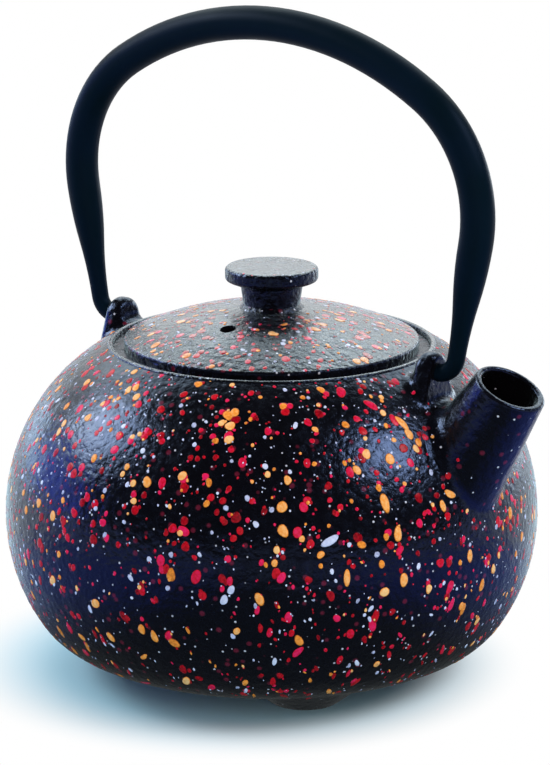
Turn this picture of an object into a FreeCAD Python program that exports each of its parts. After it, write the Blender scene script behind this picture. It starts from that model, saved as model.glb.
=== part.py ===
import FreeCAD, Part
import math
import os

from FreeCAD import Vector

# Millimetres. Origin on the pot's axis in the plane its feet stand on, +Z up, spout towards +X.

# Body, a hollow casting turned about Z
body_radius = 80.0
widest_height = 48.0
shoulder_reach = 32.6
shoulder_arc_radius = 58.0
belly_arc_radius = 56.0
corner_arc_radius = 23.0
base_height = 7.0
body_wall = 4.0

# Mouth with the ledge that carries the lid and the sunk seat of the infuser's flange
ledge_drop = 1.6
ledge_width = 6.0
throat_depth = 4.8
mouth_edge_bevel = 0.7

# Spout, a tapered tube that meets the body at a slant
spout_below_ear = 23.1147
spout_root_radius = 13.75
spout_rise = 57.0
spout_length = 29.3
spout_mouth_radius = 10.6
spout_mouth_tilt = 27.0
spout_wall = 2.3
spout_lip_round = 0.9
spout_root_fillet = 5.0

# Ears on the shoulder, each with a blind bore in its outer face for one pin of the handle
ear_gap = 7.1
ear_thickness = 6.0
ear_radius = 5.8
ear_flare = 20.0
ear_edge_round = 2.4
ear_root_fillet = 3.0
bore_floor = 1.5
pivot_rise = 5.6

# Three cast feet
foot_count = 3
foot_edge_inset = 14.2
foot_first_angle = -38.0
foot_tip_radius = 10.0
foot_root_radius = 19.0
foot_tip_round = 2.0
foot_root_fillet = 5.0

# Lid
lid_gap = 3.5
lid_edge_height = 2.7
lid_dome_rise = 9.6
lid_wall = 3.5
lid_edge_round = 0.8
skirt_depth = 6.0
skirt_wall = 2.5
vent_radius = 2.4
vent_distance = 23.1
vent_angle = -86.5

# Knob, with the screw and washer that hold it
knob_radius = 13.85
knob_height = 12.4
knob_rim_height = 3.9
knob_rim_round = 1.2
knob_neck_top_radius = 9.25
knob_neck_foot_radius = 8.45
knob_neck_height = 6.7
knob_foot_flare = 1.2
screw_radius = 2.0
screw_depth_in_knob = 8.0
screw_head_radius = 4.2
screw_head_height = 2.4
screw_head_taper = 0.9
screw_slot_width = 1.0
screw_slot_depth = 1.1
washer_radius = 7.0
washer_thickness = 0.8
washer_pad_rise = 0.6

# Bail handle, a round bar with tapered legs and pins bent inwards
leg_offset = 4.9
leg_lean = 10.1
widest_rise = 46.0
arch_corner_radius = 40.0
crown_rise = 9.5
bar_radius = 5.0
pin_radius = 2.6
pin_bend_radius = 6.0

# Infuser of thin steel sheet and woven mesh
sheet = 0.8
flange_width = 3.2
collar_depth = 9.0
mesh_thickness = 0.5
mesh_depth = 50.0
hoop_height = 5.0
hoop_lip = 2.5

# Clearances
pin_clearance = 0.08
pin_end_clearance = 0.2
screw_clearance = 0.05
screw_hole_clearance = 0.4
collar_clearance = 0.6
flange_clearance = 0.6
skirt_clearance = 0.6
sheet_clearance = 0.05

# Heights and radii that follow
AXIS = Vector(0, 0, 1)
shoulder_centre = Vector(body_radius - shoulder_arc_radius, 0, widest_height)
belly_centre = Vector(body_radius - belly_arc_radius, 0, widest_height)
corner_centre_z = base_height + corner_arc_radius
corner_centre_x = belly_centre.x + math.sqrt(
    (belly_arc_radius - corner_arc_radius) ** 2 - (widest_height - corner_centre_z) ** 2
)
corner_centre = Vector(corner_centre_x, 0, corner_centre_z)
foot_circle_radius = corner_centre_x - foot_edge_inset


def height_on_shoulder(radius, offset):
    reach = radius - shoulder_centre.x
    return widest_height + math.sqrt((shoulder_arc_radius - offset) ** 2 - reach**2)


def radius_on_shoulder(height, offset):
    rise = height - widest_height
    return shoulder_centre.x + math.sqrt((shoulder_arc_radius - offset) ** 2 - rise**2)


mouth_radius = body_radius - shoulder_reach
mouth_edge_height = height_on_shoulder(mouth_radius, 0)
ledge_height = mouth_edge_height - ledge_drop
flange_seat_height = ledge_height - sheet
flange_seat_radius = mouth_radius - ledge_width
flange_radius = flange_seat_radius - flange_clearance
collar_inside = flange_radius - flange_width
collar_radius = collar_inside + sheet
bore_radius = collar_radius + collar_clearance
mesh_radius = collar_inside - sheet_clearance
skirt_radius = mesh_radius - mesh_thickness - skirt_clearance
lid_radius = mouth_radius - lid_gap
lid_edge_top = ledge_height + lid_edge_height
lid_apex = lid_edge_top + lid_dome_rise
dome_radius = (lid_radius**2 + lid_dome_rise**2) / (2 * lid_dome_rise)
dome_centre_z = lid_apex - dome_radius
knob_seat_radius = knob_neck_foot_radius + knob_foot_flare
knob_seat_height = dome_centre_z + math.sqrt(dome_radius**2 - knob_seat_radius**2)
washer_pad_height = knob_seat_height - lid_wall - washer_pad_rise
ear_inner_face = mouth_radius + ear_gap
ear_outer_face = ear_inner_face + ear_thickness
ear_middle = (ear_inner_face + ear_outer_face) / 2
pivot_height = height_on_shoulder(ear_middle, 0) + pivot_rise
bore_floor_distance = ear_inner_face + bore_floor


def polar(radius, degrees, height=0.0):
    angle = math.radians(degrees)
    return Vector(radius * math.cos(angle), radius * math.sin(angle), height)


def line(start, end):
    return Part.LineSegment(start, end).toShape()


def arc(centre, start, end, bulge):
    """Arc about centre from start to end, on the side of the vector bulge."""
    middle = centre + Vector(bulge).normalize() * (start - centre).Length
    return Part.Arc(start, middle, end).toShape()


def short_arc(centre, start, end):
    return arc(centre, start, end, (start - centre).normalize() + (end - centre).normalize())


def turned(edges):
    """Solid of revolution about Z of a closed outline in the XZ plane."""
    return Part.Face(Part.Wire(Part.__sortEdges__(edges))).revolve(Vector(), AXIS, 360)


def outline(points):
    """Straight edges through (radius, height) points."""
    places = [Vector(radius, 0, height) for radius, height in points]
    return [line(a, b) for a, b in zip(places, places[1:])]


def body_meridian(offset, end):
    """Base, corner, belly and shoulder, set in from the outside by offset, up to the point end."""
    axis_foot = Vector(0, 0, base_height + offset)
    corner_foot = Vector(corner_centre.x, 0, base_height + offset)
    outward = (corner_centre - belly_centre).normalize()
    join = belly_centre + outward * (belly_arc_radius - offset)
    widest = Vector(body_radius - offset, 0, widest_height)
    return [
        line(axis_foot, corner_foot),
        short_arc(corner_centre, corner_foot, join),
        short_arc(belly_centre, join, widest),
        short_arc(shoulder_centre, widest, end),
    ]


def body_block():
    """Outside of the pot as a filled solid, closed flat at the mouth's edge."""
    edge = Vector(mouth_radius, 0, mouth_edge_height)
    closing = outline([(mouth_radius, mouth_edge_height), (0, mouth_edge_height), (0, base_height)])
    return turned(body_meridian(0, edge) + closing)


def cavity():
    """Room inside the pot, with the throat, the flange's seat and the lid's bevelled recess above it."""
    throat_foot = ledge_height - throat_depth
    under_throat = Vector(radius_on_shoulder(throat_foot, body_wall), 0, throat_foot)
    bevel_foot = mouth_edge_height - mouth_edge_bevel
    recess_top = mouth_edge_height + ledge_drop
    upper = outline(
        [
            (under_throat.x, throat_foot),
            (bore_radius, throat_foot),
            (bore_radius, flange_seat_height),
            (flange_seat_radius, flange_seat_height),
            (flange_seat_radius, ledge_height),
            (mouth_radius, ledge_height),
            (mouth_radius, bevel_foot),
            (mouth_radius + recess_top - bevel_foot, recess_top),
            (0, recess_top),
            (0, base_height + body_wall),
        ]
    )
    return turned(body_meridian(body_wall, under_throat) + upper)


def spout_axis():
    rise = math.radians(spout_rise)
    return Vector(math.cos(rise), 0, math.sin(rise))


def spout_root():
    """Point on the inside of the shoulder, down its arc from the ear, where the spout's axis starts."""
    ear_angle = math.acos((ear_middle - shoulder_centre.x) / shoulder_arc_radius)
    angle = ear_angle - math.radians(spout_below_ear)
    inside = Vector(math.cos(angle), 0, math.sin(angle)) * (shoulder_arc_radius - body_wall)
    return shoulder_centre + inside


def spout_mouth():
    return spout_root() + spout_axis() * spout_length


def spout_mouth_normal():
    tilt = math.radians(spout_mouth_tilt)
    return Vector(math.sin(tilt), 0, math.cos(tilt))


def spout_tube(inset, overrun):
    """Tapered tube from past the inner wall to the mouth, its radii reduced by inset."""
    axis = spout_axis()
    root = spout_root()
    taper = (spout_root_radius - spout_mouth_radius) / spout_length
    depth = spout_root_radius + body_wall
    sections = [
        (
            spout_mouth() + spout_mouth_normal() * overrun,
            spout_mouth_normal(),
            spout_mouth_radius - inset,
        ),
        (root, axis, spout_root_radius - inset),
        (root - axis * depth, axis, spout_root_radius + taper * depth - inset),
    ]
    rings = [Part.Wire(Part.makeCircle(radius, centre, normal)) for centre, normal, radius in sections]
    return Part.makeLoft(rings, True)


def ear(side):
    """Upright lug with a round head, standing across the pivot axis."""
    flare = math.radians(ear_flare)
    foot = height_on_shoulder(ear_outer_face + ear_root_fillet, body_wall / 2)
    tangent_y = ear_radius * math.cos(flare)
    tangent_z = pivot_height + ear_radius * math.sin(flare)
    foot_y = tangent_y + (tangent_z - foot) * math.tan(flare)
    start = min(side * ear_inner_face, side * ear_outer_face)
    left_foot = Vector(start, -foot_y, foot)
    left = Vector(start, -tangent_y, tangent_z)
    top = Vector(start, 0, pivot_height + ear_radius)
    right = Vector(start, tangent_y, tangent_z)
    right_foot = Vector(start, foot_y, foot)
    edges = [
        line(left_foot, left),
        Part.Arc(left, top, right).toShape(),
        line(right, right_foot),
        line(right_foot, left_foot),
    ]
    lug = Part.Face(Part.Wire(edges)).extrude(Vector(ear_thickness, 0, 0))
    rims = [e for e in lug.Edges if e.BoundBox.XLength < 1e-6 and e.BoundBox.ZMax > foot + 1e-6]
    return lug.makeFillet(ear_edge_round, rims)


def feet():
    depth = base_height + body_wall / 2
    slope = (foot_root_radius - foot_tip_radius) / base_height
    for number in range(foot_count):
        place = polar(foot_circle_radius, foot_first_angle + number * 360 / foot_count)
        foot = Part.makeCone(foot_tip_radius, foot_tip_radius + slope * depth, depth, place, AXIS)
        yield foot.makeFillet(foot_tip_round, [e for e in foot.Edges if e.BoundBox.ZMax < 1e-6])


def near(edge, surfaces, tolerance=1e-3):
    """True where the middle of an edge lies on every one of the surfaces."""
    middle = Part.Vertex(edge.valueAt((edge.FirstParameter + edge.LastParameter) / 2))
    return all(middle.distToShape(surface)[0] < tolerance for surface in surfaces)


def skin(solid):
    return Part.Compound(solid.Faces)


def joined(block, additions, fillet):
    """Block with the additions fused on and the edges where they meet it rounded."""
    result = block
    for addition in additions:
        result = result.fuse(addition)
        seams = [e for e in result.Edges if near(e, (skin(block), skin(addition)))]
        result = result.makeFillet(fillet, seams)
    return result


def in_spout_mouth(edge):
    """True for the two edges of the spout's lip, which lie in the plane of its mouth."""
    reach = 2 * spout_mouth_radius
    offsets = [point - spout_mouth() for point in edge.discretize(5)]
    return all(abs(o.dot(spout_mouth_normal())) < 1e-3 and o.Length < reach for o in offsets)


def pot_body():
    block = body_block()
    casting = joined(block, [spout_tube(0, 0)], spout_root_fillet)
    casting = joined(casting, [ear(-1), ear(1)], ear_root_fillet)
    casting = joined(casting, feet(), foot_root_fillet)
    casting = casting.cut(cavity()).cut(spout_tube(spout_wall, spout_wall))
    bore = pin_radius + pin_clearance
    for side in (-1, 1):
        floor = Vector(side * bore_floor_distance, 0, pivot_height)
        casting = casting.cut(Part.makeCylinder(bore, ear_thickness, floor, Vector(side, 0, 0)))
    return casting.makeFillet(spout_lip_round, [e for e in casting.Edges if in_spout_mouth(e)])


def rims_at(solid, radius, height, tolerance=1e-3):
    """Circular edges about Z of the stated radius and height."""
    rims = []
    for edge in solid.Edges:
        box = edge.BoundBox
        level = abs(box.ZMin - height) < tolerance and abs(box.ZMax - height) < tolerance
        if level and abs(box.XMax - radius) < tolerance:
            rims.append(edge)
    return rims


def lid():
    inner_dome = dome_radius - lid_wall
    skirt_foot = ledge_height - skirt_depth
    skirt_inside = skirt_radius - skirt_wall
    hole = screw_radius + screw_hole_clearance
    pad = washer_radius + washer_pad_rise
    centre = Vector(0, 0, dome_centre_z)
    inner_foot = Vector(skirt_inside, 0, dome_centre_z + math.sqrt(inner_dome**2 - skirt_inside**2))
    inner_top = Vector(pad, 0, dome_centre_z + math.sqrt(inner_dome**2 - pad**2))
    edges = outline([(hole, knob_seat_height), (knob_seat_radius, knob_seat_height)])
    edges.append(
        short_arc(
            centre,
            Vector(knob_seat_radius, 0, knob_seat_height),
            Vector(lid_radius, 0, lid_edge_top),
        )
    )
    edges += outline(
        [
            (lid_radius, lid_edge_top),
            (lid_radius, ledge_height),
            (skirt_radius, ledge_height),
            (skirt_radius, skirt_foot),
            (skirt_inside, skirt_foot),
            (skirt_inside, inner_foot.z),
        ]
    )
    edges.append(short_arc(centre, inner_foot, inner_top))
    edges += outline(
        [
            (pad, inner_top.z),
            (pad, washer_pad_height),
            (hole, washer_pad_height),
            (hole, knob_seat_height),
        ]
    )
    plate = turned(edges)
    plate = plate.makeFillet(lid_edge_round, rims_at(plate, lid_radius, lid_edge_top))
    vent = Part.makeCylinder(vent_radius, lid_apex, polar(vent_distance, vent_angle), AXIS)
    return plate.cut(vent)


def lid_knob():
    foot = knob_seat_height
    top = foot + knob_height
    rim_foot = top - knob_rim_height
    neck_top = foot + knob_neck_height
    hole = screw_radius + screw_clearance
    hole_top = foot + screw_depth_in_knob + screw_clearance
    edges = outline(
        [
            (hole, foot),
            (knob_seat_radius, foot),
            (knob_neck_foot_radius, foot + knob_foot_flare),
            (knob_neck_top_radius, neck_top),
            (knob_radius, rim_foot),
            (knob_radius, top),
            (0, top),
            (0, hole_top),
            (hole, hole_top),
            (hole, foot),
        ]
    )
    grip = turned(edges)
    rims = rims_at(grip, knob_radius, top) + rims_at(grip, knob_radius, rim_foot)
    return grip.makeFillet(knob_rim_round, rims)


def knob_washer():
    hole = screw_radius + screw_hole_clearance
    foot = Vector(0, 0, washer_pad_height - washer_thickness)
    disc = Part.makeCylinder(washer_radius, washer_thickness, foot, AXIS)
    return disc.cut(Part.makeCylinder(hole, washer_thickness, foot, AXIS))


def knob_screw():
    seat = washer_pad_height - washer_thickness
    tip = knob_seat_height + screw_depth_in_knob
    head_foot = Vector(0, 0, seat - screw_head_height)
    tip_radius = screw_head_radius - screw_head_taper
    head = Part.makeCone(tip_radius, screw_head_radius, screw_head_height, head_foot, AXIS)
    shank = Part.makeCylinder(screw_radius, tip - seat, Vector(0, 0, seat), AXIS)
    slot_corner = Vector(-screw_head_radius, -screw_slot_width / 2, seat - screw_head_height)
    slot = Part.makeBox(2 * screw_head_radius, screw_slot_width, screw_slot_depth, slot_corner)
    return head.fuse(shank).cut(slot)


def in_handle_plane(x, rise):
    return Vector(x, 0, pivot_height + rise)


def handle_half(side):
    """Path of one half of the bar: the points and arc centres from the pin to the top of the arch."""
    lean = math.radians(leg_lean)
    up_leg = Vector(side * math.sin(lean), 0, math.cos(lean))
    foot = in_handle_plane(side * (ear_outer_face + leg_offset), 0)
    corner_reach = Vector(side * math.cos(lean), 0, -math.sin(lean)) * arch_corner_radius
    leg_top = foot + up_leg * ((widest_rise + corner_reach.z) / up_leg.z)
    corner = leg_top - corner_reach
    bend_reach = pin_bend_radius * math.tan(math.radians(90 - leg_lean) / 2)
    inwards = Vector(-side, 0, 0)
    top_radius = (corner.x**2 + crown_rise**2 + 2 * crown_rise * arch_corner_radius) / (2 * crown_rise)
    top_centre = in_handle_plane(0, widest_rise + arch_corner_radius + crown_rise - top_radius)
    outward = (corner - top_centre).normalize()
    return {
        "pin_end": Vector(side * (bore_floor_distance + pin_end_clearance), 0, pivot_height),
        "bend_start": foot + inwards * bend_reach,
        "bend_centre": foot + inwards * bend_reach + Vector(0, 0, pin_bend_radius),
        "bend_end": foot + up_leg * bend_reach,
        "leg_top": leg_top,
        "up_leg": up_leg,
        "corner_centre": corner,
        "corner_end": top_centre + outward * top_radius,
        "top_centre": top_centre,
    }


def swept(path, radius):
    start = path.Edges[0]
    place = start.valueAt(start.FirstParameter)
    direction = start.tangentAt(start.FirstParameter)
    section = Part.Wire(Part.makeCircle(radius, place, direction))
    return path.makePipeShell([section], True, False)


def tapered_leg(half):
    """Leg turned about its own axis, swelling in two tangent arcs from the pin's thickness to the bar's."""
    run = half["leg_top"] - half["bend_end"]
    half_length = run.Length / 2
    half_swell = (bar_radius - pin_radius) / 2
    swell_radius = (half_length**2 + half_swell**2) / (2 * half_swell)
    foot = Vector(pin_radius, 0, 0)
    middle = Vector(pin_radius + half_swell, 0, half_length)
    top = Vector(bar_radius, 0, run.Length)
    profile = [
        line(Vector(), foot),
        short_arc(foot + Vector(swell_radius, 0, 0), foot, middle),
        short_arc(top - Vector(swell_radius, 0, 0), middle, top),
        line(top, Vector(0, 0, run.Length)),
        line(Vector(0, 0, run.Length), Vector()),
    ]
    leg = turned(profile)
    leg.Placement = FreeCAD.Placement(half["bend_end"], FreeCAD.Rotation(AXIS, run))
    return leg


def bail_handle():
    left, right = handle_half(-1), handle_half(1)
    arch = Part.Wire(
        [
            short_arc(left["corner_centre"], left["leg_top"], left["corner_end"]),
            arc(left["top_centre"], left["corner_end"], right["corner_end"], AXIS),
            short_arc(right["corner_centre"], right["corner_end"], right["leg_top"]),
        ]
    )
    bar = swept(arch, bar_radius)
    for half in (left, right):
        hook = Part.Wire(
            [
                line(half["pin_end"], half["bend_start"]),
                short_arc(half["bend_centre"], half["bend_start"], half["bend_end"]),
            ]
        )
        bar = bar.fuse([tapered_leg(half), swept(hook, pin_radius)])
    return bar


def ring(outer, inner, foot, top):
    return turned(outline([(inner, foot), (outer, foot), (outer, top), (inner, top), (inner, foot)]))


def infuser_rim():
    """Flange that hangs on the ledge, with the collar drawn down from it."""
    collar_foot = ledge_height - collar_depth
    return turned(
        outline(
            [
                (collar_inside, collar_foot),
                (collar_radius, collar_foot),
                (collar_radius, flange_seat_height),
                (flange_radius, flange_seat_height),
                (flange_radius, ledge_height),
                (collar_inside, ledge_height),
                (collar_inside, collar_foot),
            ]
        )
    )


def infuser_mesh_wall():
    top = ledge_height - sheet
    return ring(mesh_radius, mesh_radius - mesh_thickness, ledge_height - mesh_depth, top)


def infuser_base_ring():
    """Hoop round the foot of the mesh, with a lip turned in under it."""
    foot = ledge_height - mesh_depth - mesh_thickness - sheet
    lip = mesh_radius - hoop_lip
    return turned(
        outline(
            [
                (lip, foot),
                (collar_radius, foot),
                (collar_radius, foot + hoop_height),
                (collar_inside, foot + hoop_height),
                (collar_inside, foot + sheet),
                (lip, foot + sheet),
                (lip, foot),
            ]
        )
    )


def infuser_mesh_base():
    foot = ledge_height - mesh_depth - mesh_thickness
    return Part.makeCylinder(mesh_radius, mesh_thickness, Vector(0, 0, foot), AXIS)


NODES = {
    "pot_body": pot_body,
    "lid": lid,
    "lid_knob": lid_knob,
    "knob_washer": knob_washer,
    "knob_screw": knob_screw,
    "bail_handle": bail_handle,
    "infuser_rim": infuser_rim,
    "infuser_mesh_wall": infuser_mesh_wall,
    "infuser_base_ring": infuser_base_ring,
    "infuser_mesh_base": infuser_mesh_base,
}

os.makedirs("parts", exist_ok=True)
for name, make in NODES.items():
    shape = make().removeSplitter()
    print(name, "valid", shape.isValid(), "solids", len(shape.Solids), "volume", round(shape.Volume, 1))
    shape.exportStep(f"parts/{name}.step")
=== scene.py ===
"""Looks of the speckled teapot: enamel, paint drops, woven strainer, floor, studio light and camera.

Lengths are in metres in the row frame: Z is up, the pot stands on Z = 0 and the spout points to +X.
"""

import itertools
import math
import random
from collections import namedtuple

import bpy
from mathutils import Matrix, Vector, noise
from mathutils.bvhtree import BVHTree


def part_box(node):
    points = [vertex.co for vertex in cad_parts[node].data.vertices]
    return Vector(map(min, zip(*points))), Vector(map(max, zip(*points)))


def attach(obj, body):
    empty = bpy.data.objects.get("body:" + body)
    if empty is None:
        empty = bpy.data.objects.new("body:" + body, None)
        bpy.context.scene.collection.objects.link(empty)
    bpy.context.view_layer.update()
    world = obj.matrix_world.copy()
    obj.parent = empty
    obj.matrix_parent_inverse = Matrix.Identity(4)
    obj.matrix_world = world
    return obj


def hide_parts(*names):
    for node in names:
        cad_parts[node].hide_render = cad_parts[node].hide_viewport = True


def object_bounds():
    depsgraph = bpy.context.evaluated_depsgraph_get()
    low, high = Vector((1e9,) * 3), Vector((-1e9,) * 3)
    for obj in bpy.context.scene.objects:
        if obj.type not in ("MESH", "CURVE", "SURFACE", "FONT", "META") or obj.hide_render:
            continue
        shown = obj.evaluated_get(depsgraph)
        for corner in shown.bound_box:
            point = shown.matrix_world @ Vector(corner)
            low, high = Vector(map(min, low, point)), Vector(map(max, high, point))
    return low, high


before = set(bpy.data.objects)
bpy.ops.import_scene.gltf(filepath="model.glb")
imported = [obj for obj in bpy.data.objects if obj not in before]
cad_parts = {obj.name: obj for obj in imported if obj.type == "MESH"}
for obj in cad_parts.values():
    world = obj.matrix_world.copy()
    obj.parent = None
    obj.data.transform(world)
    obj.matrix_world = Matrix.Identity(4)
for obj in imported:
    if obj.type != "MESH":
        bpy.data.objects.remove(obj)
cad_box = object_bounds()

MM = 0.001
SQUARE_MM = MM * MM
EAST = Vector((1, 0, 0))
NORTH = Vector((0, 1, 0))
UP = Vector((0, 0, 1))
WHITE_LIGHT = (1.0, 1.0, 1.0)

# Camera, found from the photograph
PHOTO_WIDTH = 550
PHOTO_HEIGHT = 765
FOCAL_PIXELS = 3476.4
SENSOR_SIZE = 36.0
VIEW_AZIMUTH = math.radians(37.0)
VIEW_ELEVATION = math.radians(14.56)
VIEW_DISTANCE = 1.0392
AIM_HEIGHT = 0.0871
AIM_RIGHT = 0.985 * MM
VIEW_RIGHT = Vector((math.cos(VIEW_AZIMUTH), math.sin(VIEW_AZIMUTH), 0))
VIEW_LEVEL = Vector((math.sin(VIEW_AZIMUTH), -math.cos(VIEW_AZIMUTH), 0))
VIEW_BACK = math.cos(VIEW_ELEVATION) * VIEW_LEVEL + math.sin(VIEW_ELEVATION) * UP
VIEW_UP = VIEW_BACK.cross(VIEW_RIGHT)
CAMERA_PLACE = AIM_HEIGHT * UP + AIM_RIGHT * VIEW_RIGHT + VIEW_DISTANCE * VIEW_BACK

# Pot, from the frame
BODY_RADIUS = -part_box("pot_body")[0].x
WIDEST_SHARE = 0.6
BODY_CENTRE = Vector((0, 0, BODY_RADIUS * WIDEST_SHARE))
LID_GAP = 3.5 * MM
MOUTH_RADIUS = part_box("lid")[1].x + LID_GAP
SHOULDER_ARC = 58 * MM
SHOULDER_MARGIN = 1 * MM
MOUTH_BEVEL = 0.7 * MM
MOUTH_EDGE_RADIUS = 0.9 * MM
MOUTH_EDGE_SINK = 0.6 * MM
MOUTH_EDGE_STEPS = 180
MOUTH_EDGE_SIDES = 12
FOOT_HEIGHT = 7 * MM

# Paints: drops on a square mm, smallest and largest radius, skew to small drops, height of a drop,
# tone of the dimmest drop, and the colour where a drop is thin, full and pale
Paint = namedtuple("Paint", "name density small large skew height dimmest thin full pale")
RED = Paint(
    name="red", density=0.070, small=0.30 * MM, large=1.7 * MM, skew=1.5, height=0.06 * MM, dimmest=0.25,
    thin=(0.020, 0.0005, 0.003), full=(0.56, 0.004, 0.013), pale=(0.76, 0.012, 0.10),
)
ORANGE = Paint(
    name="orange", density=0.020, small=0.40 * MM, large=1.7 * MM, skew=1.2, height=0.11 * MM, dimmest=0.45,
    thin=(0.20, 0.012, 0.003), full=(0.90, 0.28, 0.034), pale=(0.92, 0.50, 0.20),
)
WHITE = Paint(
    name="white", density=0.052, small=0.2 * MM, large=1.0 * MM, skew=2.3, height=0.08 * MM, dimmest=0.4,
    thin=(0.10, 0.10, 0.18), full=(0.50, 0.50, 0.70), pale=(0.66, 0.66, 0.80),
)
PAINTS = (RED, ORANGE, WHITE)
FULL_TONE = 0.6
NOTABLE_TONE = 0.75
RIM_TONE = 0.1
TONE_SKEW = 1.2

# Where paint lands: in drifts, more on what faces up, and little on the spout and ears
LID_SPATTER = 1.2
DRIFT_SIZE = 16 * MM
LEAST_SHARE = 0.35
DRIFT_SHARE = 0.75
UPWARD_SHARE = 0.6
SPOUT_SHARE = 0.05
STEEPEST_ON_LID = 0.5
UNDERSIDE = -0.85
FREE_SPACE = 24 * MM
RAY_START = 0.1 * MM
COMPANION_CHANCE = 0.45
COMPANION_NEAREST = 0.4
COMPANION_FURTHEST = 0.9
POT_SEED = 7
LID_SEED = 3

# Form of a drop
DROP_SINK = 0.04 * MM
DROP_SHOULDER = 0.72
SHOULDER_RISE = 0.8
BEND_LIMIT = 0.85
UPRIGHT = 0.2
ROUND_STRETCH = 0.2
RUNNING_STRETCH = 1.1
TURN_SPREAD = 0.35
OVAL_LIMIT = 0.12
LOBE_LIMIT = 0.09
FINE_DROP = 0.5 * MM
FINE_SIDES = 8
MIDDLE_DROP = 1.2 * MM
MIDDLE_SIDES = 12
LARGE_SIDES = 18
POT_FORM_SEED = 11
LID_FORM_SEED = 12
Drop = namedtuple("Drop", "paint place normal radius stretch turn tone")

# The largest drops in the photograph: paint, pixel, width, length downhill and turn of it to the right
Notable = namedtuple("Notable", "paint pixel width length turn")
NOTABLE_DROPS = {
    "white_bean": Notable(WHITE, (330, 541), 2.7 * MM, 6.2 * MM, -1.0),
    "white_pair_low": Notable(WHITE, (224, 600), 2.4 * MM, 3.6 * MM, -0.3),
    "white_pair_high": Notable(WHITE, (231, 590), 2.2 * MM, 3.2 * MM, -0.4),
    "rim_red": Notable(RED, (341, 392), 3.4 * MM, 4.6 * MM, 0.0),
    "rim_pink": Notable(RED, (371, 405), 2.8 * MM, 5.6 * MM, 0.7),
    "rim_oblong": Notable(RED, (418, 403), 2.8 * MM, 6.6 * MM, 0.7),
    "shoulder_red": Notable(RED, (394, 420), 2.8 * MM, 4.6 * MM, 0.0),
    "shoulder_orange_high": Notable(ORANGE, (402, 423), 2.6 * MM, 6.0 * MM, 0.5),
    "shoulder_orange_low": Notable(ORANGE, (409, 434), 2.8 * MM, 4.0 * MM, 0.2),
    "highlight_orange": Notable(ORANGE, (390, 459), 3.2 * MM, 3.8 * MM, 0.0),
    "ringed_red": Notable(RED, (350, 472), 2.6 * MM, 3.8 * MM, 0.0),
    "ringed_orange": Notable(ORANGE, (357, 470), 2.6 * MM, 3.2 * MM, 0.3),
    "spout_orange_high": Notable(ORANGE, (450, 494), 2.4 * MM, 4.6 * MM, 0.9),
    "spout_orange_low": Notable(ORANGE, (443, 506), 2.4 * MM, 3.8 * MM, 0.1),
    "tall_orange": Notable(ORANGE, (385, 503), 2.9 * MM, 6.4 * MM, 0.15),
    "oval_orange": Notable(ORANGE, (398, 534), 2.8 * MM, 5.0 * MM, 0.0),
    "middle_orange_high": Notable(ORANGE, (282, 507), 3.4 * MM, 3.6 * MM, 0.0),
    "middle_orange_low": Notable(ORANGE, (283, 531), 3.2 * MM, 4.2 * MM, 0.2),
    "belly_orange_left": Notable(ORANGE, (347, 578), 2.2 * MM, 5.6 * MM, 0.0),
    "belly_orange_middle": Notable(ORANGE, (404, 580), 2.6 * MM, 5.2 * MM, 0.0),
    "belly_orange_right": Notable(ORANGE, (470, 556), 2.4 * MM, 4.4 * MM, 0.0),
    "belly_red": Notable(RED, (196, 577), 3.4 * MM, 4.8 * MM, -0.4),
    "flank_orange": Notable(ORANGE, (147, 482), 2.8 * MM, 3.8 * MM, 0.0),
    "flank_red": Notable(RED, (162, 483), 2.6 * MM, 4.0 * MM, 0.0),
}

# Finish: bluish gloss, a whitish bloom at a slant, and a glaze and coarser grain on the lid
ENAMEL_DARK = (0.0020, 0.0016, 0.0017)
ENAMEL_BLUE = (0.0030, 0.0022, 0.0036)
STAIN_RED = (0.10, 0.006, 0.016)
SPECK_PALE = (0.55, 0.52, 0.58)
HANDLE_DARK = (0.0014, 0.0054, 0.0065)
HANDLE_BLUE = (0.0018, 0.0060, 0.0150)
BLUE_GLOSS = (0.40, 0.55, 1.0)
BLOOM_TINT = (0.72, 0.92, 1.0)
FLANK_BLOOM = 1.0
TOP_BLOOM = 0.25
POT_GLAZE = 0.0
LID_GLAZE = 0.75
POT_RELIEF = 0.4 * MM
LID_RELIEF = 1.0 * MM
PAINT_SHINE = 0.12
GLAZED_SHINE = 0.4
SHEET_STEEL = (0.62, 0.63, 0.64)
FASTENER_STEEL = (0.55, 0.55, 0.54)
WIRE_STEEL = (0.60, 0.61, 0.62)
STEEL_SHADE = 0.8
STEEL_CLOUD = 0.06

# Woven strainer
WIRE_RADIUS = 0.12 * MM
WIRE_PITCH = 2.0 * MM

# Floor: near the pot it keeps the real shadow and adds painted bluish shade, its darker blue colour
# that fades to white further out; its mirror image is a painted reflection that glows dark in front
# of the pot, blue at its sides, and pale behind it and further out
FLOOR_RADIUS = 4.0
FLOOR_SIDES = 64
# Painted bluish shade: the floor's darker blue colour shows to the camera only in a zone round a point a
# little left of the pot, fading to white between the inner and outer radius, with the real shadow in it too
SHADE_ZONE_FLOOR_COLOUR = (0.42, 0.66, 0.76)
SHADOW_INNER = 0.052
SHADOW_OUTER = 0.088
SHADOW_MIDDLE = -0.010 * VIEW_RIGHT
# Painted reflection: the floor glows in these colours only where a glossy surface mirrors it
MIRROR_FRONT = 0.06
MIRROR_SIDE = 0.16
MIRROR_BACK = 0.12
MIRROR_NEAR = 0.40
MIRROR_FAR = 0.60
MIRROR_DARK = (0.10, 0.11, 0.11)
MIRROR_BLUE = (0.18, 0.26, 0.85)
MIRROR_PALE = (0.82, 0.85, 0.94)

# Room and lamps
BACKDROP_ELEVATION = 12
BACKDROP_WHITE = math.radians(25)
BACKDROP_END = math.radians(60)
ROOM_COLOUR = (0.02, 0.03, 0.038)
FILL_COLOUR = (1.0, 0.98, 0.95)
LAMP_DISTANCE = 1.3
WATTS_PER_LEVEL = 4


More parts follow.
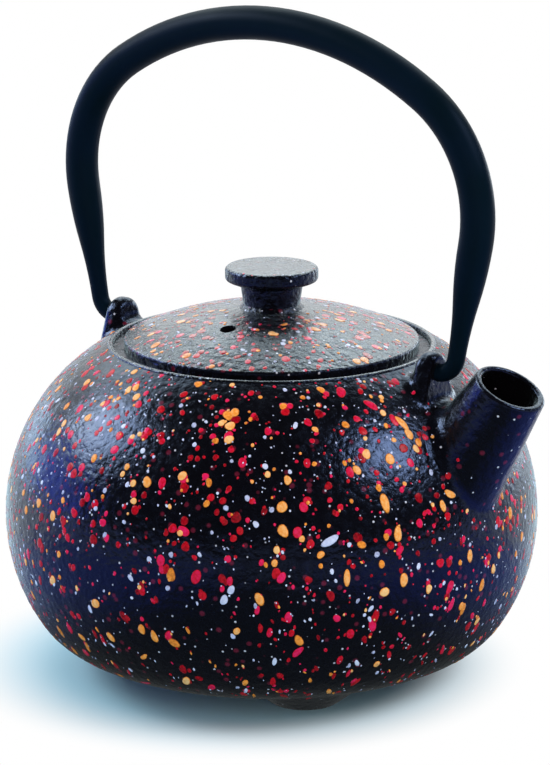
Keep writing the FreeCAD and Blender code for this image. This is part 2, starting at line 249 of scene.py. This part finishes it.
def direction(azimuth, elevation):
    """Unit vector at degrees round from the camera's side, positive to its right, and degrees up."""
    turn = math.radians(azimuth)
    rise = math.radians(elevation)
    level = math.sin(turn) * VIEW_RIGHT + math.cos(turn) * VIEW_LEVEL
    return math.cos(rise) * level + math.sin(rise) * UP


# Node trees

def set_inputs(tree, node, inputs):
    """Sets inputs of a node, each to a value or to another node's socket."""
    for socket, value in inputs.items():
        if isinstance(value, bpy.types.NodeSocket):
            tree.links.new(value, node.inputs[socket])
        else:
            node.inputs[socket].default_value = value


def add_node(tree, kind, inputs=None, **settings):
    """A node with its settings and inputs."""
    made = tree.nodes.new(kind)
    for name, value in settings.items():
        setattr(made, name, value)
    set_inputs(tree, made, inputs or {})
    return made


def math_node(tree, operation, first, second=0.0):
    """A number worked out from two numbers or sockets."""
    return add_node(tree, "ShaderNodeMath", {0: first, 1: second}, operation=operation).outputs[0]


def vector_math(tree, operation, first, second):
    """The outputs of a sum with two vectors or sockets."""
    return add_node(tree, "ShaderNodeVectorMath", {0: first, 1: second}, operation=operation).outputs


def smooth_step(tree, value, low, high, to_low=0.0, to_high=1.0):
    """A socket that goes smoothly from to_low to to_high while value goes from low to high."""
    inputs = {"Value": value, "From Min": low, "From Max": high, "To Min": to_low, "To Max": to_high}
    return add_node(tree, "ShaderNodeMapRange", inputs, interpolation_type="SMOOTHSTEP").outputs["Result"]


def mix_colour(tree, share, first, second):
    """A colour between two colours. A Mix node's colour sockets are found only by their numbers."""
    inputs = {0: share, 6: first, 7: second}
    return add_node(tree, "ShaderNodeMix", inputs, data_type="RGBA").outputs[2]


def rgb(colour):
    """A colour with full cover."""
    return (*colour, 1.0)


def new_material(name):
    """A material with its tree and its Principled shader."""
    material = bpy.data.materials.new(name)
    material.use_nodes = True
    return material, material.node_tree, material.node_tree.nodes["Principled BSDF"]


def noise_node(tree, place, size, detail=2.0):
    """Noise with features of a size in metres, as a socket between 0 and 1."""
    inputs = {"Vector": place, "Scale": 1 / size, "Detail": detail}
    return add_node(tree, "ShaderNodeTexNoise", inputs).outputs["Fac"]


def bump_node(tree, height, strength, distance):
    """The outward direction of a surface with a relief."""
    inputs = {"Height": height, "Strength": strength, "Distance": distance}
    return add_node(tree, "ShaderNodeBump", inputs).outputs["Normal"]


def dot_mask(tree, place, cell, radius, softness, share):
    """Dots of about a radius in some of the cells of a 3-D pattern, as a socket between 0 and 1."""
    cells = add_node(tree, "ShaderNodeTexVoronoi", {"Vector": place, "Scale": 1 / cell})
    inside = smooth_step(tree, cells.outputs["Distance"], radius / cell, (radius - softness) / cell)
    chance = add_node(tree, "ShaderNodeSeparateColor", {"Color": cells.outputs["Color"]}).outputs["Red"]
    return math_node(tree, "MULTIPLY", inside, math_node(tree, "LESS_THAN", chance, share))


# Materials

def add_bloom(tree, shader, coordinates, glaze):
    """A whitish bloom on what is seen at a slant, most on the flanks, and a share of pitted glaze on top."""
    upward = add_node(tree, "ShaderNodeSeparateXYZ", {0: coordinates["Normal"]}).outputs["Z"]
    flank = smooth_step(tree, upward, low=-0.5, high=0.0, to_high=FLANK_BLOOM)
    lessened = smooth_step(tree, upward, low=0.15, high=0.5, to_high=FLANK_BLOOM - TOP_BLOOM)
    set_inputs(tree, shader, {
        "Sheen Weight": math_node(tree, "SUBTRACT", flank, lessened),
        "Sheen Roughness": 0.24,
        "Sheen Tint": rgb(BLOOM_TINT),
    })
    if glaze > 0:
        pits = noise_node(tree, coordinates["Object"], size=2.2 * MM, detail=4.0)
        set_inputs(tree, shader, {
            "Coat Weight": smooth_step(tree, upward, low=0.6, high=0.9, to_high=glaze),
            "Coat Roughness": 0.14,
            "Coat IOR": 1.8,
            "Coat Normal": bump_node(tree, pits, strength=1.0, distance=0.9 * MM),
        })


def outer_side(tree, coordinates):
    """A socket that is 1 where the surface faces away from the pot's middle, and 0 elsewhere."""
    from_centre = vector_math(tree, "SUBTRACT", coordinates["Object"], BODY_CENTRE)["Vector"]
    facing = vector_math(tree, "DOT_PRODUCT", from_centre, coordinates["Normal"])["Value"]
    return math_node(tree, "GREATER_THAN", facing, 0.0)


def enamel_material(name, glaze, relief):
    """Near-black glossy enamel on rough iron: pebbled, with fine specks and dark red stains outside."""
    material, tree, shader = new_material(name)
    coordinates = add_node(tree, "ShaderNodeTexCoord").outputs
    place = coordinates["Object"]
    outside = outer_side(tree, coordinates)
    cloud = noise_node(tree, place, size=12 * MM)
    colour = mix_colour(tree, cloud, rgb(ENAMEL_DARK), rgb(ENAMEL_BLUE))
    stains = dot_mask(tree, place, cell=3.4 * MM, radius=1.0 * MM, softness=0.5 * MM, share=0.42)
    stains = math_node(tree, "MULTIPLY", stains, outside)
    colour = mix_colour(tree, stains, colour, rgb(STAIN_RED))
    specks = dot_mask(tree, place, cell=3.0 * MM, radius=0.42 * MM, softness=0.2 * MM, share=0.5)
    specks = math_node(tree, "MULTIPLY", specks, outside)
    colour = mix_colour(tree, specks, colour, rgb(SPECK_PALE))
    grain = noise_node(tree, place, size=1.9 * MM, detail=3.0)
    swell = noise_node(tree, place, size=7 * MM)
    height = math_node(tree, "ADD", grain, swell)
    set_inputs(tree, shader, {
        "Base Color": colour,
        "Normal": bump_node(tree, height, strength=0.7, distance=relief),
        "Roughness": smooth_step(tree, grain, low=0.3, high=0.7, to_low=0.16, to_high=0.30),
        "Specular IOR Level": 0.45,
        "Specular Tint": rgb(BLUE_GLOSS),
    })
    add_bloom(tree, shader, coordinates, glaze)
    return material


def paint_material(name, paint, glaze):
    """Spattered paint: its colour goes from a thin, darker rim to a full or pale middle."""
    material, tree, shader = new_material(name)
    tone = add_node(tree, "ShaderNodeAttribute", attribute_name="tone").outputs["Fac"]
    coordinates = add_node(tree, "ShaderNodeTexCoord").outputs
    place = coordinates["Object"]
    cloud = noise_node(tree, place, size=0.8 * MM)
    mottle = smooth_step(tree, cloud, low=0.3, high=0.7, to_low=-0.12, to_high=0.12)
    ramp = add_node(tree, "ShaderNodeValToRGB", {"Fac": math_node(tree, "ADD", tone, mottle)})
    ramp.color_ramp.elements[0].color = rgb(paint.thin)
    ramp.color_ramp.elements[1].color = rgb(paint.pale)
    ramp.color_ramp.elements.new(FULL_TONE).color = rgb(paint.full)
    grain = noise_node(tree, place, size=1.6 * MM, detail=3.0)
    set_inputs(tree, shader, {
        "Base Color": ramp.outputs["Color"],
        "Normal": bump_node(tree, grain, strength=0.4, distance=0.2 * MM),
        "Roughness": smooth_step(tree, grain, low=0.3, high=0.7, to_low=0.2, to_high=0.34),
        "Specular IOR Level": PAINT_SHINE + GLAZED_SHINE * glaze,
    })
    add_bloom(tree, shader, coordinates, glaze)
    return material


def handle_material():
    """Satin blue-black coating of the handle, with fine grain and worn patches that shine a little more."""
    material, tree, shader = new_material("handle_coating")
    place = add_node(tree, "ShaderNodeTexCoord").outputs["Object"]
    cloud = noise_node(tree, place, size=18 * MM)
    grain = noise_node(tree, place, size=0.5 * MM)
    set_inputs(tree, shader, {
        "Base Color": mix_colour(tree, cloud, rgb(HANDLE_DARK), rgb(HANDLE_BLUE)),
        "Normal": bump_node(tree, grain, strength=0.25, distance=0.05 * MM),
        "Roughness": smooth_step(tree, cloud, low=0.3, high=0.7, to_low=0.38, to_high=0.48),
        "Specular IOR Level": 0.05,
        "Specular Tint": rgb(BLUE_GLOSS),
    })
    return material


def steel_material(name, colour, grain_size, roughness):
    """Bare steel with fine grain and slightly cloudy shine."""
    material, tree, shader = new_material(name)
    place = add_node(tree, "ShaderNodeTexCoord").outputs["Object"]
    grain = noise_node(tree, place, size=grain_size)
    darker = tuple(STEEL_SHADE * part for part in colour)
    smoothest = roughness - STEEL_CLOUD
    roughest = roughness + STEEL_CLOUD
    set_inputs(tree, shader, {
        "Base Color": mix_colour(tree, grain, rgb(darker), rgb(colour)),
        "Normal": bump_node(tree, grain, strength=0.2, distance=0.03 * MM),
        "Roughness": smooth_step(tree, grain, low=0.3, high=0.7, to_low=smoothest, to_high=roughest),
        "Metallic": 1.0,
    })
    return material


# Meshes

def add_mesh(name, points, smooth_faces, flat_faces, material):
    """A mesh object with some smooth and some flat faces."""
    mesh = bpy.data.meshes.new(name)
    mesh.from_pydata(points, [], [*smooth_faces, *flat_faces])
    mesh.polygons.foreach_set("use_smooth", [True] * len(smooth_faces) + [False] * len(flat_faces))
    mesh.materials.append(material)
    made = bpy.data.objects.new(name, mesh)
    bpy.context.scene.collection.objects.link(made)
    return made


# Paint drops

Surface = namedtuple("Surface", "points corners areas tree has_mouth")


def surface_of(*names):
    """The triangles of some CAD nodes, with a tree for rays."""
    points = []
    corners = []
    for name in names:
        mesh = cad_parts[name].data
        mesh.calc_loop_triangles()
        first = len(points)
        points += [vertex.co.copy() for vertex in mesh.vertices]
        corners += [[first + index for index in triangle.vertices] for triangle in mesh.loop_triangles]
    areas = [(points[b] - points[a]).cross(points[c] - points[a]).length / 2 for a, b, c in corners]
    tree = BVHTree.FromPolygons(points, corners)
    return Surface(points, corners, areas, tree, has_mouth="pot_body" in names)


def on_outer_side(surface, place, normal):
    """True where spattered paint lands: not inside the pot, its mouth or its spout, nor under it."""
    if normal.z < UNDERSIDE or normal.dot(place - BODY_CENTRE) <= 0:
        return False
    in_mouth = place.xy.length < MOUTH_RADIUS + DROP_SINK
    if in_mouth and surface.has_mouth and place.z > BODY_CENTRE.z:
        return False
    hit = surface.tree.ray_cast(place + RAY_START * normal, normal, FREE_SPACE)
    return hit[0] is None


def paint_share(place, normal):
    """How much of the spatter lands at a place: none on the feet and the lid's edge, and drifts elsewhere."""
    reach = place.xy.length
    above = place.z - BODY_CENTRE.z
    on_lid = reach < MOUTH_RADIUS
    if place.z < FOOT_HEIGHT or on_lid and normal.z < STEEPEST_ON_LID:
        return 0.0
    from_arc = math.hypot(reach - BODY_RADIUS + SHOULDER_ARC, above)
    if not on_lid and above > 0 and from_arc > SHOULDER_ARC + SHOULDER_MARGIN:
        return SPOUT_SHARE
    drift = 0.5 + 0.5 * noise.noise(place / DRIFT_SIZE)
    return (LEAST_SHARE + DRIFT_SHARE * drift) * (1 + UPWARD_SHARE * normal.z)


def random_drop(paint, place, normal, dice):
    """A drop of random size, stretched downhill where the wall is upright or leans over."""
    radius = paint.small * (paint.large / paint.small) ** dice.random() ** paint.skew
    lean = max(0.0, UPRIGHT - normal.z)
    stretch = 1 + dice.random() * (ROUND_STRETCH + RUNNING_STRETCH * lean)
    turn = dice.gauss(0, TURN_SPREAD)
    tone = paint.dimmest + (1 - paint.dimmest) * dice.random() ** TONE_SKEW
    return Drop(paint, place, normal, radius, stretch, turn, tone)


def companion(drop, dice):
    """A red drop that lies partly under an orange one."""
    red = random_drop(RED, drop.place, drop.normal, dice)
    across = drop.normal.orthogonal().normalized()
    sideways = drop.normal.cross(across)
    angle = dice.uniform(0, math.tau)
    reach = dice.uniform(COMPANION_NEAREST, COMPANION_FURTHEST) * (drop.radius + red.radius)
    aside = reach * (math.cos(angle) * across + math.sin(angle) * sideways)
    return red._replace(place=drop.place + aside)


def spatter(surface, dice, amount=1.0):
    """Drops of every paint, spread over the outer side of a surface."""
    drops = []
    total = sum(surface.areas) / SQUARE_MM
    steps = list(itertools.accumulate(surface.areas))
    for paint in PAINTS:
        count = round(paint.density * amount * total)
        for corner in dice.choices(surface.corners, cum_weights=steps, k=count):
            a, b, c = (surface.points[index] for index in corner)
            low, high = sorted((dice.random(), dice.random()))
            place = a * low + b * (high - low) + c * (1 - high)
            normal = (b - a).cross(c - a).normalized()
            drop = random_drop(paint, place, normal, dice)
            lands = dice.random() < paint_share(place, normal)
            if lands and on_outer_side(surface, place, normal):
                drops.append(drop)
                if paint is ORANGE and dice.random() < COMPANION_CHANCE:
                    drops.append(companion(drop, dice))
    return drops


def seen_at(surface, pixel):
    """Place and outward direction on a surface at a pixel of the photograph."""
    across = (pixel[0] - PHOTO_WIDTH / 2) / FOCAL_PIXELS
    down = (pixel[1] - PHOTO_HEIGHT / 2) / FOCAL_PIXELS
    look = (across * VIEW_RIGHT - down * VIEW_UP - VIEW_BACK).normalized()
    place, normal, _, _ = surface.tree.ray_cast(CAMERA_PLACE, look)
    return place, normal


def notable_drops(surface):
    """The drops that stand out in the photograph, where it shows them."""
    drops = []
    for notable in NOTABLE_DROPS.values():
        place, normal = seen_at(surface, notable.pixel)
        # A drop's length over its width is its stretch to the power of 3 / 2
        stretch = (notable.length / notable.width) ** (2 / 3)
        radius = notable.length / 2 / stretch
        drops.append(Drop(notable.paint, place, normal, radius, stretch, notable.turn, NOTABLE_TONE))
    return drops


def clear_of(drops, others):
    """The drops that lie apart from all of some others."""
    return [
        drop for drop in drops
        if all((drop.place - other.place).length > drop.radius + other.radius for other in others)
    ]


def drop_sides(radius):
    """Number of corners of a drop's outline."""
    if radius < FINE_DROP:
        return FINE_SIDES
    return MIDDLE_SIDES if radius < MIDDLE_DROP else LARGE_SIDES


def drop_outline(drop, dice):
    """Reach of a drop downhill and sideways at each corner of its slightly uneven outline."""
    count = drop_sides(drop.radius)
    oval_phase = dice.uniform(0, math.tau)
    lobe_phase = dice.uniform(0, math.tau)
    oval = dice.uniform(0, OVAL_LIMIT)
    lobe = dice.uniform(0, LOBE_LIMIT)
    outline = []
    for step in range(count):
        angle = math.tau * step / count
        wobble = 1 + oval * math.sin(2 * angle + oval_phase) + lobe * math.sin(3 * angle + lobe_phase)
        along = drop.radius * wobble * math.cos(angle) * drop.stretch
        side = drop.radius * wobble * math.sin(angle) / math.sqrt(drop.stretch)
        downhill = math.cos(drop.turn) * along - math.sin(drop.turn) * side
        sideways = math.sin(drop.turn) * along + math.cos(drop.turn) * side
        outline.append((downhill, sideways))
    return outline


def inside_cad_box(point):
    """True where a point lies in the CAD model's box."""
    return all(cad_box[0][axis] <= point[axis] <= cad_box[1][axis] for axis in range(3))


def drop_mesh(surface, drop, dice):
    """Points, tones, top faces and bottom face of one drop on a surface, or None where it won't lie flat."""
    downhill = (-UP + UP.dot(drop.normal) * drop.normal).normalized()
    across = drop.normal.cross(downhill)
    outline = drop_outline(drop, dice)
    count = len(outline)
    lift = drop.radius * drop.normal
    rings = {1.0: (-DROP_SINK, RIM_TONE), DROP_SHOULDER: (SHOULDER_RISE * drop.paint.height, 1.0)}
    points = []
    tones = []
    for share, (rise, tone) in rings.items():
        for along, side in outline:
            start = drop.place + share * along * downhill + share * side * across + lift
            hit, hit_normal, _, _ = surface.tree.ray_cast(start, -drop.normal, 2 * drop.radius)
            if hit is None or hit_normal.dot(drop.normal) < BEND_LIMIT:
                return None
            points.append(hit + rise * drop.normal)
            tones.append(tone * drop.tone)
    middle = surface.tree.ray_cast(drop.place + lift, -drop.normal, 2 * drop.radius)[0]
    if middle is None:
        return None
    points.append(middle + drop.paint.height * drop.normal)
    tones.append(drop.tone)
    if not all(inside_cad_box(point) for point in points):
        return None
    following = [(step + 1) % count for step in range(count)]
    sides = [(step, following[step], count + following[step], count + step) for step in range(count)]
    caps = [(count + step, count + following[step], 2 * count) for step in range(count)]
    return points, tones, sides + caps, tuple(reversed(range(count)))


def lay_drops(name, body, surface, drops, paint, material, dice):
    """One object with all the drops of one paint on one body."""
    points = []
    tones = []
    tops = []
    bottoms = []
    for drop in drops:
        made = drop_mesh(surface, drop, dice) if drop.paint is paint else None
        if made:
            first = len(points)
            points += made[0]
            tones += made[1]
            tops += [[first + index for index in face] for face in made[2]]
            bottoms.append([first + index for index in made[3]])
    piece = add_mesh(name + "_" + paint.name, points, tops, bottoms, material)
    piece.data.attributes.new("tone", "FLOAT", "POINT").data.foreach_set("value", tones)
    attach(piece, body)


# Mouth and woven strainer

def outward_at(angle):
    """Level unit vector at an angle round the pot's axis."""
    return Vector((math.cos(angle), math.sin(angle), 0))


def tube(path, closed=False, radius=WIRE_RADIUS, sides=4):
    """Points and faces of a round bar along a path of (place, outward, sideways)."""
    points = []
    for place, outward, sideways in path:
        for side in range(sides):
            angle = math.tau * (side + 0.5) / sides
            points.append(place + radius * (math.cos(angle) * outward + math.sin(angle) * sideways))
    faces = []
    count = len(path)
    for step in range(count if closed else count - 1):
        near = sides * step
        far = sides * ((step + 1) % count)
        for side in range(sides):
            after = (side + 1) % sides
            faces.append((near + side, near + after, far + after, far + side))
    if not closed:
        faces.append(tuple(reversed(range(sides))))
        faces.append(tuple(range(sides * (count - 1), sides * count)))
    return points, faces


def mouth_edge(material):
    """The rounded edge of the pot's mouth, which catches the light as a thin line."""
    reach = MOUTH_RADIUS + MOUTH_BEVEL
    height = BODY_CENTRE.z + math.sqrt(SHOULDER_ARC**2 - (reach - BODY_RADIUS + SHOULDER_ARC) ** 2)
    path = []
    for step in range(MOUTH_EDGE_STEPS):
        outward = outward_at(math.tau * step / MOUTH_EDGE_STEPS)
        path.append((reach * outward + (height - MOUTH_EDGE_SINK) * UP, outward, UP))
    points, faces = tube(path, closed=True, radius=MOUTH_EDGE_RADIUS, sides=MOUTH_EDGE_SIDES)
    piece = add_mesh("mouth_edge", points, faces, (), material)
    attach(piece, "pot")


def join_tubes(name, node, tubes, material):
    """One object from many wires, which stands for a CAD node of the infuser."""
    points = []
    faces = []
    for wire_points, wire_faces in tubes:
        first = len(points)
        points += wire_points
        faces += [[first + index for index in face] for face in wire_faces]
    piece = add_mesh(name, points, faces, (), material)
    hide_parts(node)
    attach(piece, "infuser")


def woven_wall(material):
    """Mesh tube: hoops and uprights that pass over and under each other."""
    low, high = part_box("infuser_mesh_wall")
    middle = high.x - 2 * WIRE_RADIUS
    uprights = 2 * round(math.pi * middle / WIRE_PITCH)
    hoops = round((high.z - low.z) / WIRE_PITCH)
    first = low.z + WIRE_RADIUS
    last = high.z - WIRE_RADIUS
    tubes = []
    for hoop in range(hoops):
        height = first + (last - first) * (hoop + 0.5) / hoops
        path = []
        for step in range(2 * uprights):
            outward = outward_at(math.pi * step / uprights)
            weave = WIRE_RADIUS * math.cos(math.pi * (step / 2 + hoop))
            path.append(((middle + weave) * outward + height * UP, outward, UP))
        tubes.append(tube(path, closed=True))
    for upright in range(uprights):
        outward = outward_at(math.tau * upright / uprights)
        sideways = UP.cross(outward)
        path = []
        for step in range(2 * hoops + 1):
            height = first + (last - first) * step / (2 * hoops)
            weave = -WIRE_RADIUS * math.cos(math.pi * ((step - 1) / 2 + upright))
            path.append(((middle + weave) * outward + height * UP, outward, sideways))
        tubes.append(tube(path))
    join_tubes("strainer_mesh_wall", "infuser_mesh_wall", tubes, material)


def woven_base(material):
    """Mesh disc: two sets of straight wires that pass over and under each other."""
    low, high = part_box("infuser_mesh_base")
    middle = (low.z + high.z) / 2
    radius = high.x - WIRE_RADIUS
    across = math.floor(radius / WIRE_PITCH)
    tubes = []
    for along, side, sign in ((EAST, NORTH, 1), (NORTH, EAST, -1)):
        for wire in range(-across, across + 1):
            half = math.floor(2 * math.sqrt(radius**2 - (wire * WIRE_PITCH) ** 2) / WIRE_PITCH)
            path = []
            for step in range(-half, half + 1):
                weave = sign * WIRE_RADIUS * math.cos(math.pi * (step / 2 + wire))
                place = wire * WIRE_PITCH * side + step * WIRE_PITCH / 2 * along
                path.append((place + (middle + weave) * UP, UP, side))
            if half:
                tubes.append(tube(path))
    join_tubes("strainer_mesh_base", "infuser_mesh_base", tubes, material)


# Stage

def mirrored_floor(tree, place, distance):
    """Painted reflection: the colour the floor glows with where a glossy surface mirrors it, dark in front of
    the pot, blue at its sides and pale behind it and further out.
    """
    aside = vector_math(tree, "DOT_PRODUCT", place, VIEW_RIGHT)["Value"]
    ahead = vector_math(tree, "DOT_PRODUCT", place, VIEW_LEVEL)["Value"]
    beside = smooth_step(tree, math_node(tree, "ABSOLUTE", aside), MIRROR_FRONT, MIRROR_SIDE)
    near = mix_colour(tree, beside, rgb(MIRROR_DARK), rgb(MIRROR_BLUE))
    behind = smooth_step(tree, ahead, 0.0, -MIRROR_BACK)
    far = smooth_step(tree, distance, MIRROR_NEAR, MIRROR_FAR)
    return mix_colour(tree, math_node(tree, "MAXIMUM", behind, far), near, rgb(MIRROR_PALE))


def floor_material():
    """Floor that keeps the pot's real shadow near it, adds painted bluish shade there with its darker blue
    colour, and is plain white to the camera further out.
    """
    material, tree, shader = new_material("floor_white")
    set_inputs(tree, shader, {"Base Color": rgb(SHADE_ZONE_FLOOR_COLOUR), "Roughness": 0.6, "Specular IOR Level": 0.2})
    place = add_node(tree, "ShaderNodeTexCoord").outputs["Object"]
    distance = vector_math(tree, "DISTANCE", place, SHADOW_MIDDLE)["Value"]
    mirrored = mirrored_floor(tree, place, distance)
    light_path = add_node(tree, "ShaderNodeLightPath").outputs
    colour = mix_colour(tree, light_path["Is Camera Ray"], mirrored, rgb(WHITE_LIGHT))
    bright = add_node(tree, "ShaderNodeEmission", {"Color": colour, "Strength": 1.0})
    # Painted shade: near the pot the camera sees the darker blue lit floor, which fades to plain white
    # further out
    shade_zone_fade = smooth_step(tree, distance, SHADOW_INNER, SHADOW_OUTER)
    seen = math_node(tree, "MULTIPLY", light_path["Is Camera Ray"], shade_zone_fade)
    # Painted reflection: to glossy rays the floor glows with its mirror colours instead of showing its lit
    # colour
    share = math_node(tree, "MAXIMUM", light_path["Is Glossy Ray"], seen)
    mixed = add_node(tree, "ShaderNodeMixShader", {0: share, 1: shader.outputs[0], 2: bright.outputs[0]})
    tree.links.new(mixed.outputs[0], tree.nodes["Material Output"].inputs["Surface"])
    return material


def make_floor():
    """Round floor under the pot."""
    rim = [FLOOR_RADIUS * outward_at(math.tau * step / FLOOR_SIDES) for step in range(FLOOR_SIDES)]
    floor = add_mesh("floor", rim, [], [range(FLOOR_SIDES)], floor_material())


def make_world():
    """Studio room: white behind the pot, dim elsewhere, and white to the camera."""
    world = bpy.data.worlds.new("studio")
    world.use_nodes = True
    bpy.context.scene.world = world
    tree = world.node_tree
    look = add_node(tree, "ShaderNodeTexCoord").outputs["Generated"]
    backdrop = direction(180, BACKDROP_ELEVATION)
    towards = vector_math(tree, "DOT_PRODUCT", look, backdrop)["Value"]
    behind = smooth_step(tree, towards, math.cos(BACKDROP_END), math.cos(BACKDROP_WHITE))
    seen = add_node(tree, "ShaderNodeLightPath").outputs["Is Camera Ray"]
    room = mix_colour(tree, behind, rgb(ROOM_COLOUR), rgb(WHITE_LIGHT))
    shown = mix_colour(tree, seen, room, rgb(WHITE_LIGHT))
    tree.links.new(shown, tree.nodes["Background"].inputs["Color"])


def softbox(name, place, size, level, colour, mirrored=True):
    """A rectangular lamp that faces the pot, placed by azimuth and elevation, with a width and height.

    Level is its brightness, and one that isn't mirrored shows in no reflection.
    """
    width, height = size
    lamp = bpy.data.lights.new(name, "AREA")
    lamp.shape = "RECTANGLE"
    lamp.size = width
    lamp.size_y = height
    lamp.energy = WATTS_PER_LEVEL * width * height * level
    lamp.color = colour
    made = bpy.data.objects.new(name, lamp)
    bpy.context.scene.collection.objects.link(made)
    towards = direction(*place)
    made.location = BODY_CENTRE + LAMP_DISTANCE * towards
    made.rotation_euler = (-towards).to_track_quat("-Z", "Y").to_euler()
    made.visible_camera = False
    made.visible_glossy = mirrored


def make_lamps():
    """Two softboxes that show as highlights, two for the edges, two for blue flanks, one behind, one fill."""
    softbox("lamp_left", place=(-108, 35), size=(0.7, 0.55), level=9.3, colour=(0.82, 0.93, 1.0))
    softbox("lamp_right", place=(72, 44), size=(0.55, 0.45), level=10.0, colour=(0.85, 0.93, 1.0))
    softbox("lamp_rim_left", place=(-138, 0), size=(0.7, 0.4), level=2.2, colour=(0.45, 0.70, 1.0))
    softbox("lamp_rim_right", place=(140, 4), size=(0.7, 0.4), level=2.8, colour=(0.75, 0.9, 1.0))
    softbox("lamp_blue_left", place=(-108, 9), size=(0.9, 0.4), level=2.2, colour=(0.15, 0.22, 1.0))
    softbox("lamp_blue_right", place=(108, 10), size=(0.9, 0.5), level=0.5, colour=(0.25, 0.4, 1.0))
    softbox("lamp_top", place=(180, 45), size=(1.8, 0.8), level=1.8, colour=(0.77, 0.97, 1.0))
    softbox("lamp_front", place=(5, 22), size=(1.2, 0.9), level=2.4, colour=FILL_COLOUR, mirrored=False)


def make_camera():
    """Camera at the photograph's place."""
    camera = bpy.data.cameras.new("camera")
    camera.sensor_width = SENSOR_SIZE
    camera.lens = FOCAL_PIXELS * SENSOR_SIZE / PHOTO_HEIGHT
    made = bpy.data.objects.new("camera", camera)
    bpy.context.scene.collection.objects.link(made)
    made.location = CAMERA_PLACE
    made.rotation_euler = (-VIEW_BACK).to_track_quat("-Z", "Y").to_euler()
    bpy.context.scene.camera = made


def dress(material, *names):
    """Gives CAD nodes a material."""
    for name in names:
        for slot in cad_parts[name].material_slots:
            slot.material = material


# The whole scene
bpy.context.scene.view_settings.view_transform = "Standard"
make_camera()
make_floor()
make_world()
make_lamps()

dress(enamel_material("enamel_pot", POT_GLAZE, POT_RELIEF), "pot_body")
lid_enamel = enamel_material("enamel_lid", LID_GLAZE, LID_RELIEF)
dress(lid_enamel, "lid", "lid_knob")
mouth_edge(lid_enamel)
dress(handle_material(), "bail_handle")
sheet_steel = steel_material("steel_sheet", SHEET_STEEL, grain_size=0.6 * MM, roughness=0.3)
dress(sheet_steel, "infuser_rim", "infuser_base_ring")
fastener_steel = steel_material("steel_fastener", FASTENER_STEEL, grain_size=0.4 * MM, roughness=0.36)
dress(fastener_steel, "knob_washer", "knob_screw")
wire_steel = steel_material("steel_wire", WIRE_STEEL, grain_size=0.5 * MM, roughness=0.28)
woven_wall(wire_steel)
woven_base(wire_steel)

pot_surface = surface_of("pot_body")
lid_surface = surface_of("lid", "lid_knob")
large_drops = notable_drops(pot_surface)
pot_drops = large_drops + clear_of(spatter(pot_surface, random.Random(POT_SEED)), large_drops)
lid_drops = spatter(lid_surface, random.Random(LID_SEED), LID_SPATTER)
for paint in PAINTS:
    pot_paint = paint_material("pot_paint_" + paint.name, paint, POT_GLAZE)
    lay_drops("pot_drops", "pot", pot_surface, pot_drops, paint, pot_paint, random.Random(POT_FORM_SEED))
    lid_paint = paint_material("lid_paint_" + paint.name, paint, LID_GLAZE)
    lay_drops("lid_drops", "lid", lid_surface, lid_drops, paint, lid_paint, random.Random(LID_FORM_SEED))
